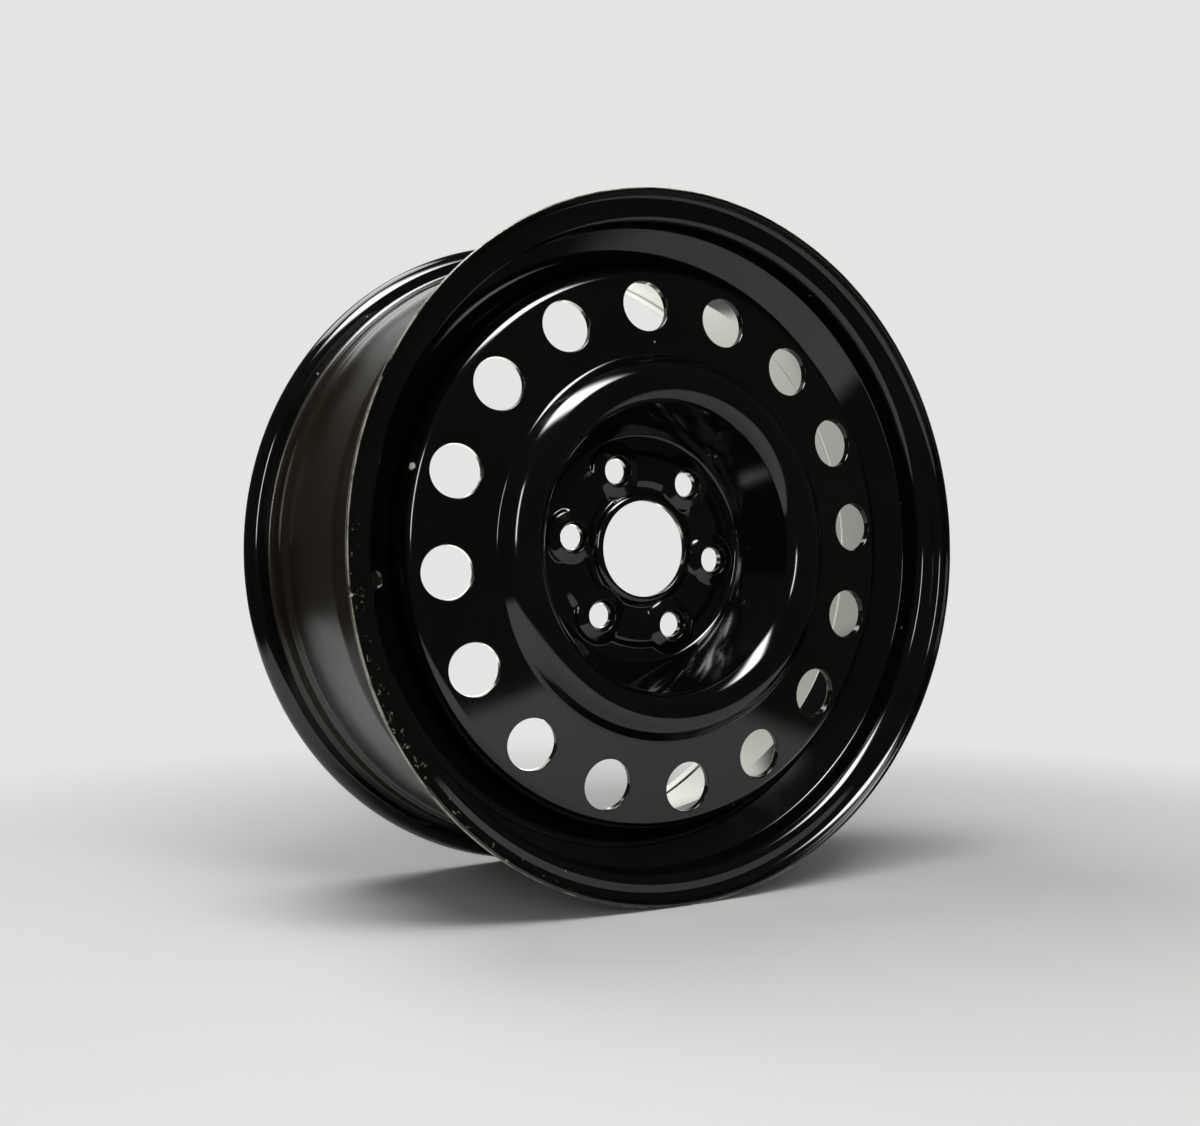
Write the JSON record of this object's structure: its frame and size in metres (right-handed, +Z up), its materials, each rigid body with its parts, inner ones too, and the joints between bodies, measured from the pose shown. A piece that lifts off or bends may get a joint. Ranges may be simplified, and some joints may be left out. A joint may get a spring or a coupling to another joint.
{
  "type": "steel car wheel",
  "caption": "Pressed steel car wheel: a rolled drop-centre rim carries a welded bowl-shaped disc with round hand holes, conical nut seats and a centre bore.",
  "frame": {"origin": "on the wheel's axis, midway between the two flange edges", "axes": "+Y along the wheel's axis, inboard, so that the outboard face looks to -Y; +Z up as the wheel stands on its tread"},
  "size_m": [0.4712, 0.1998, 0.471],
  "materials": {
    "rim_paint": "gloss black paint",
    "disc_paint": "gloss black paint",
    "weld_paint": "gloss black paint over rippled weld"
  },
  "bodies": {
    "root": {"rim": "rim_paint", "disc": "disc_paint", "weld_beads": "weld_paint"}
  },
  "joints": []
}
